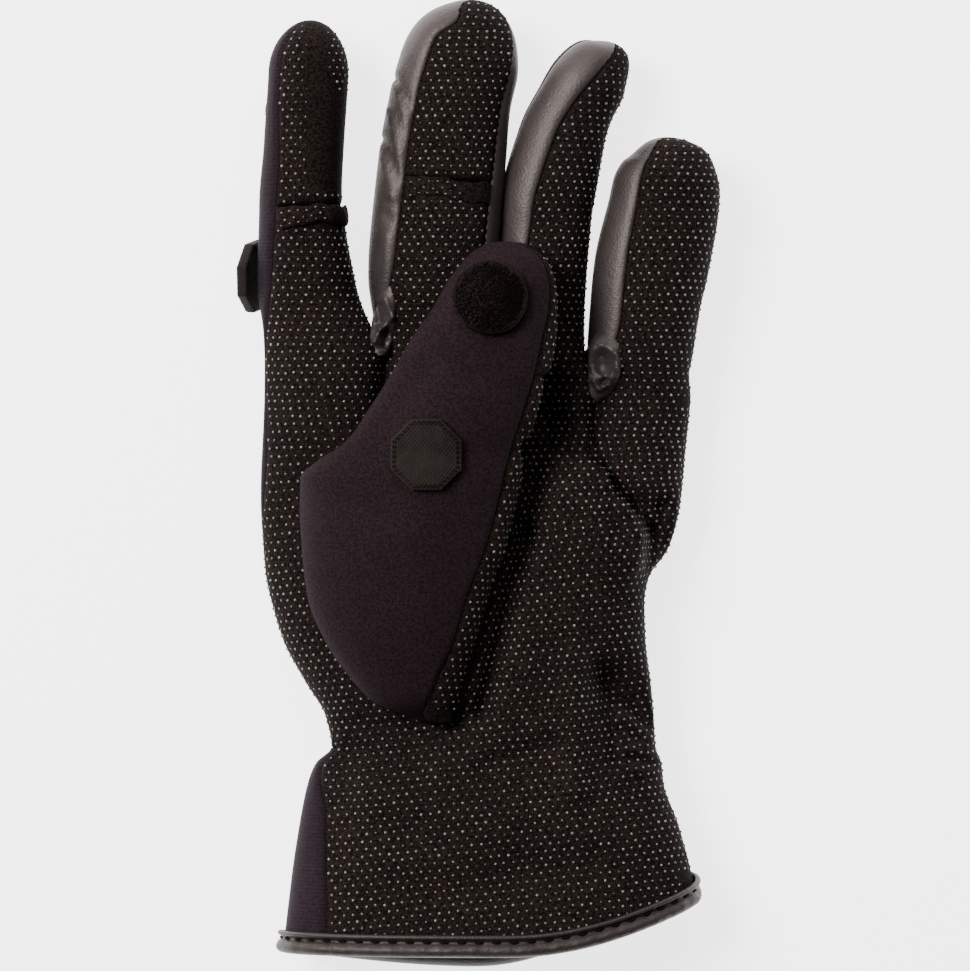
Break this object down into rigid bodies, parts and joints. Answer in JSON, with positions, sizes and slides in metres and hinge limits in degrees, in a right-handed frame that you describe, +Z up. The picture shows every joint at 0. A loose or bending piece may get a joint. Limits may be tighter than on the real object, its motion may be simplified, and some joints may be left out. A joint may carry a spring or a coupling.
{
  "type": "fishing glove",
  "caption": "Left-hand fishing glove lying palm up: dotted grip palm, neoprene back, leather finger sides, fold-back fingertips and thumb tip with fastening patches.",
  "frame": {"origin": "middle of the glove's length and breadth, on the surface that the back of the hand lies on", "axes": "+Y from the cuff to the fingertips, +X from the thumb side to the little finger, +Z up out of the palm"},
  "size_m": [0.1248, 0.2505, 0.0476],
  "materials": {
    "grip_fabric": "brown-black knit with raised pale grip dots",
    "neoprene": "matt purple-black jersey-faced neoprene",
    "leather": "semi-gloss dark grey-brown leather with soft wrinkles",
    "loop_pile": "fuzzy black loop pile",
    "woven_tape": "olive-brown woven tape with a stitched border"
  },
  "bodies": {
    "root": {"palm_panel": "grip_fabric", "index_cap": "grip_fabric", "middle_cap": "grip_fabric", "index_hem": "grip_fabric", "middle_hem": "grip_fabric", "thumb_front": "grip_fabric", "thumb_cap": "grip_fabric", "back_panel": "neoprene", "cuff_gusset": "neoprene", "thumb_back": "neoprene", "index_middle_fourchette": "leather", "middle_ring_fourchette": "leather", "ring_little_fourchette": "leather", "hem_binding": "leather", "thumb_tip_patch": "loop_pile", "index_tip_patch": "loop_pile", "middle_tip_patch": "loop_pile", "thumb_patch": "woven_tape", "index_patch": "woven_tape", "middle_patch": "woven_tape"}
  },
  "joints": []
}
